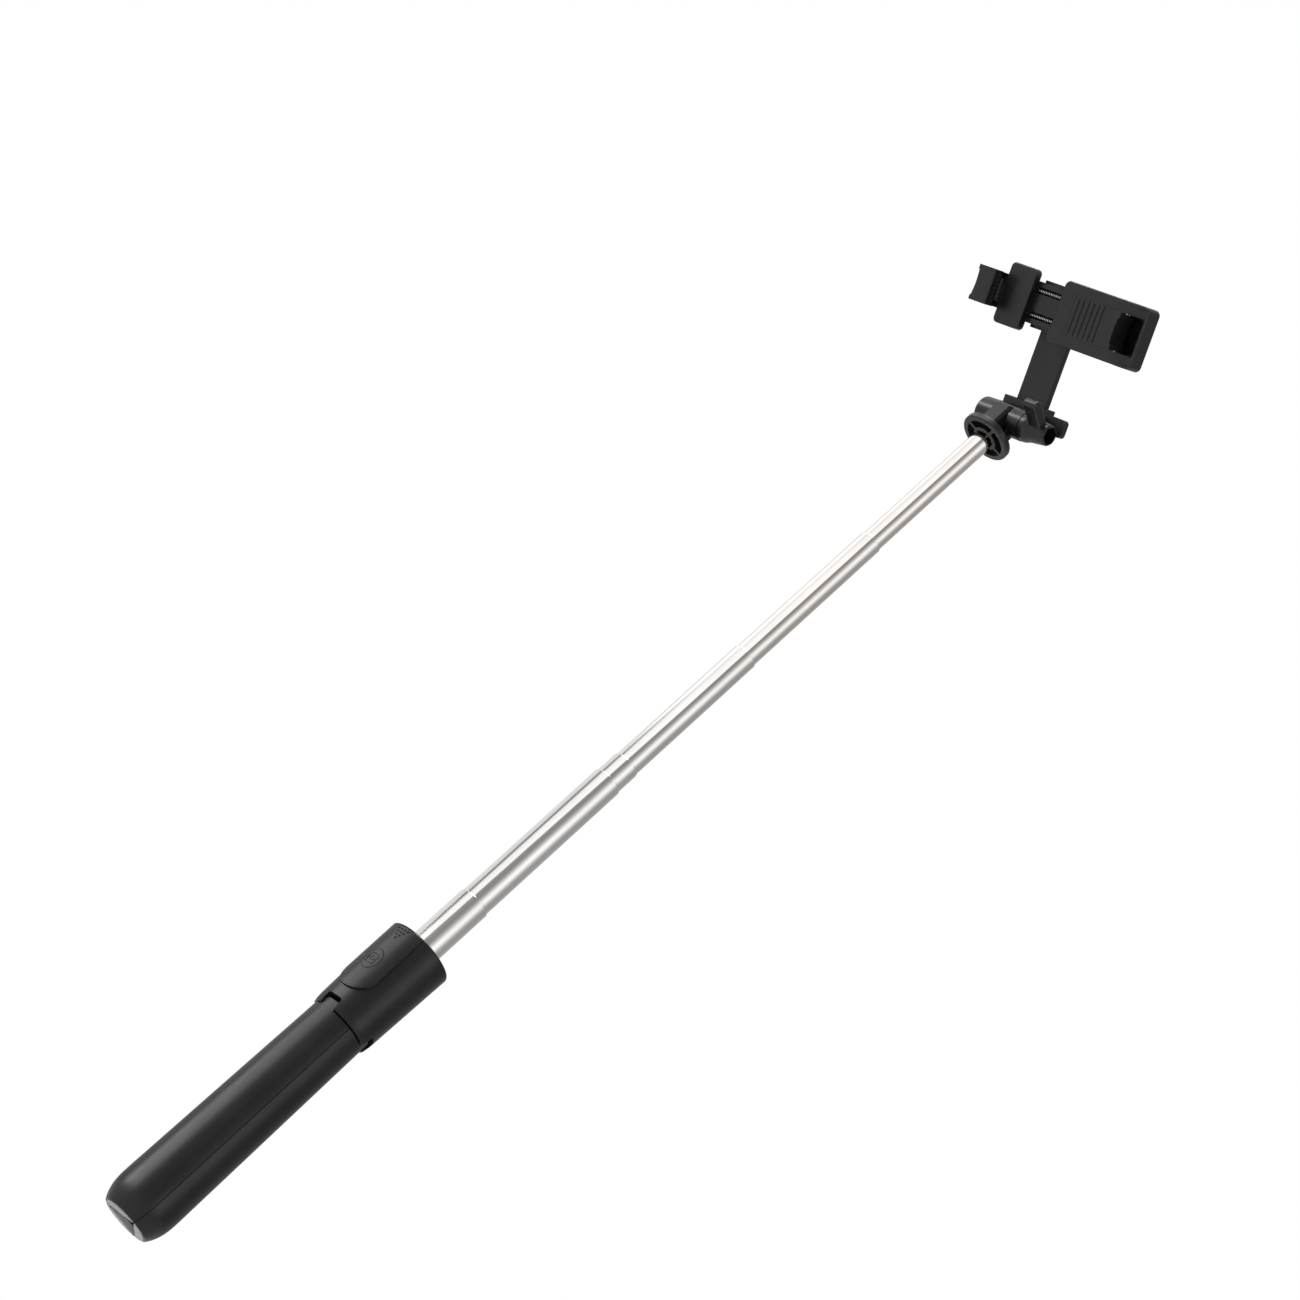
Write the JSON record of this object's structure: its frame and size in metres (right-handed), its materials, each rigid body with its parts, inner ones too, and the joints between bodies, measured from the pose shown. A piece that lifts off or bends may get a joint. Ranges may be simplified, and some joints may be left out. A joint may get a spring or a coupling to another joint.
{
  "type": "selfie stick",
  "caption": "Telescopic selfie stick with fold-out tripod handle, slide-out shutter remote and tilting sprung phone clamp.",
  "frame": {"origin": "on the stick's axis at the plane of the closed feet, the base end of the hand grip", "axes": "+Z along the stick towards the phone clamp, -Y the side with the shutter button, +X along the tilt axis towards the clamping knob"},
  "size_m": [0.0995, 0.0664, 0.6361],
  "materials": {
    "black_abs": "satin moulded ABS",
    "dark_moulding": "matt moulded plastic",
    "grey_rubber": "matt rubber",
    "grey_black_nylon": "fine-textured glass-filled nylon",
    "black_rubber": "matt ribbed rubber",
    "polished_steel": "polished stainless steel",
    "anodised_tube": "black anodised aluminium",
    "acetal": "natural acetal",
    "steel_hardware": "zinc plated",
    "black_oxide": "black oxide",
    "circuit_board": "green solder mask",
    "lens": "smoked clear"
  },
  "bodies": {
    "handle": {"hub_shell": "black_abs", "hub_core": "black_abs", "leg_hinge_pins": "steel_hardware", "hub_screws": "steel_hardware", "guide_tube": "anodised_tube", "guide_tube_cap": "dark_moulding"},
    "leg_a": {"leg_shell_a": "black_abs", "leg_cover_a": "dark_moulding", "foot_pad_a": "grey_rubber"},
    "leg_b": {"leg_shell_b": "black_abs", "leg_cover_b": "dark_moulding", "foot_pad_b": "grey_rubber"},
    "leg_c": {"leg_shell_c": "black_abs", "leg_cover_c": "dark_moulding", "foot_pad_c": "grey_rubber"},
    "remote": {"remote_shell": "black_abs", "remote_back_cover": "dark_moulding", "remote_board": "circuit_board", "coin_cell": "steel_hardware", "battery_clip": "steel_hardware", "dome_switch": "steel_hardware", "status_lens": "lens"},
    "shutter_button": {"shutter_button": "black_abs"},
    "tube_1": {"tube_1": "polished_steel", "tube_bush_1": "acetal", "tube_end_plug": "dark_moulding"},
    "tube_2": {"tube_2": "polished_steel", "tube_bush_2": "acetal"},
    "tube_3": {"tube_3": "polished_steel", "tube_bush_3": "acetal"},
    "tube_4": {"tube_4": "polished_steel", "tube_bush_4": "acetal"},
    "tube_5": {"tube_5": "polished_steel", "tube_bush_5": "acetal"},
    "tube_6": {"tube_6": "polished_steel", "tube_bush_6": "acetal", "head_collar": "grey_black_nylon"},
    "yoke": {"yoke_arm": "grey_black_nylon", "tilt_nut": "steel_hardware", "nut_cap": "grey_black_nylon", "tilt_washers": "acetal", "swivel_washer": "acetal"},
    "knob": {"knob": "grey_black_nylon", "tilt_bolt": "black_oxide"},
    "clamp": {"swivel_rivet": "steel_hardware", "clamp_back_shell": "grey_black_nylon", "clamp_front_shell": "grey_black_nylon", "jaw_spring_upper": "steel_hardware", "jaw_spring_lower": "steel_hardware", "left_jaw_pin": "steel_hardware"},
    "slider": {"slider_frame": "grey_black_nylon", "back_pad": "black_rubber", "right_jaw_pin": "steel_hardware"},
    "left_jaw": {"left_jaw": "grey_black_nylon", "left_jaw_pad": "black_rubber"},
    "right_jaw": {"right_jaw": "grey_black_nylon", "right_jaw_pad": "black_rubber"}
  },
  "joints": [
    {"name": "leg_a_hinge", "type": "hinge", "parent": "handle", "child": "leg_a", "pos_m": [0, -0.0117, 0.1263], "axis": [-1, 0, 0], "range_deg": [0, 50]},
    {"name": "leg_b_hinge", "type": "hinge", "parent": "handle", "child": "leg_b", "pos_m": [0.01013, 0.00585, 0.1263], "axis": [0.5, -0.866, 0], "range_deg": [0, 50]},
    {"name": "leg_c_hinge", "type": "hinge", "parent": "handle", "child": "leg_c", "pos_m": [-0.01013, 0.00585, 0.1263], "axis": [0.5, 0.866, 0], "range_deg": [0, 50]},
    {"name": "remote_slide", "type": "slide", "parent": "handle", "child": "remote", "axis": [0, 0, 1], "range_m": [0, 0.042]},
    {"name": "shutter_press", "type": "slide", "parent": "remote", "child": "shutter_button", "axis": [0, 1, 0], "range_m": [0, 0.0005], "stiffness_N_per_m": 1200, "springref_m": -0.0004},
    {"name": "tube_1_slide", "type": "slide", "parent": "handle", "child": "tube_1", "axis": [0, 0, 1], "range_m": [-0.0319, 0.0586]},
    {"name": "tube_2_slide", "type": "slide", "parent": "tube_1", "child": "tube_2", "axis": [0, 0, 1], "range_m": [-0.0839, 0.0066]},
    {"name": "tube_3_slide", "type": "slide", "parent": "tube_2", "child": "tube_3", "axis": [0, 0, 1], "range_m": [-0.0107, 0.0798]},
    {"name": "tube_4_slide", "type": "slide", "parent": "tube_3", "child": "tube_4", "axis": [0, 0, 1], "range_m": [-0.0787, 0.0118]},
    {"name": "tube_5_slide", "type": "slide", "parent": "tube_4", "child": "tube_5", "axis": [0, 0, 1], "range_m": [-0.0868, 0.0037]},
    {"name": "tube_6_slide", "type": "slide", "parent": "tube_5", "child": "tube_6", "axis": [0, 0, 1], "range_m": [-0.082, 0.0085]},
    {"name": "head_tilt", "type": "hinge", "parent": "tube_6", "child": "yoke", "pos_m": [0, 0, 0.573], "axis": [1, 0, 0], "range_deg": [-80, 48]},
    {"name": "knob_turn", "type": "hinge", "parent": "yoke", "child": "knob", "pos_m": [0.02, 0, 0.573], "axis": [1, 0, 0], "range_deg": [-20, 60]},
    {"name": "clamp_swivel", "type": "hinge", "parent": "yoke", "child": "clamp", "pos_m": [0, -0.02827, 0.62532], "axis": [0, 0.7431, 0.6691], "range_deg": [-180, 20]},
    {"name": "jaw_slide", "type": "slide", "parent": "clamp", "child": "slider", "axis": [1, 0, 0], "range_m": [-0.018, 0.013], "stiffness_N_per_m": 220, "springref_m": -0.018, "deforming": ["jaw_spring_upper", "jaw_spring_lower"]},
    {"name": "left_jaw_fold", "type": "hinge", "parent": "clamp", "child": "left_jaw", "pos_m": [-0.0405, -0.03466, 0.61957], "axis": [0, -0.6691, 0.7431], "range_deg": [-90, 0]},
    {"name": "right_jaw_fold", "type": "hinge", "parent": "slider", "child": "right_jaw", "pos_m": [0.0434, -0.03481, 0.61943], "axis": [0, -0.6691, 0.7431], "range_deg": [0, 90]}
  ]
}
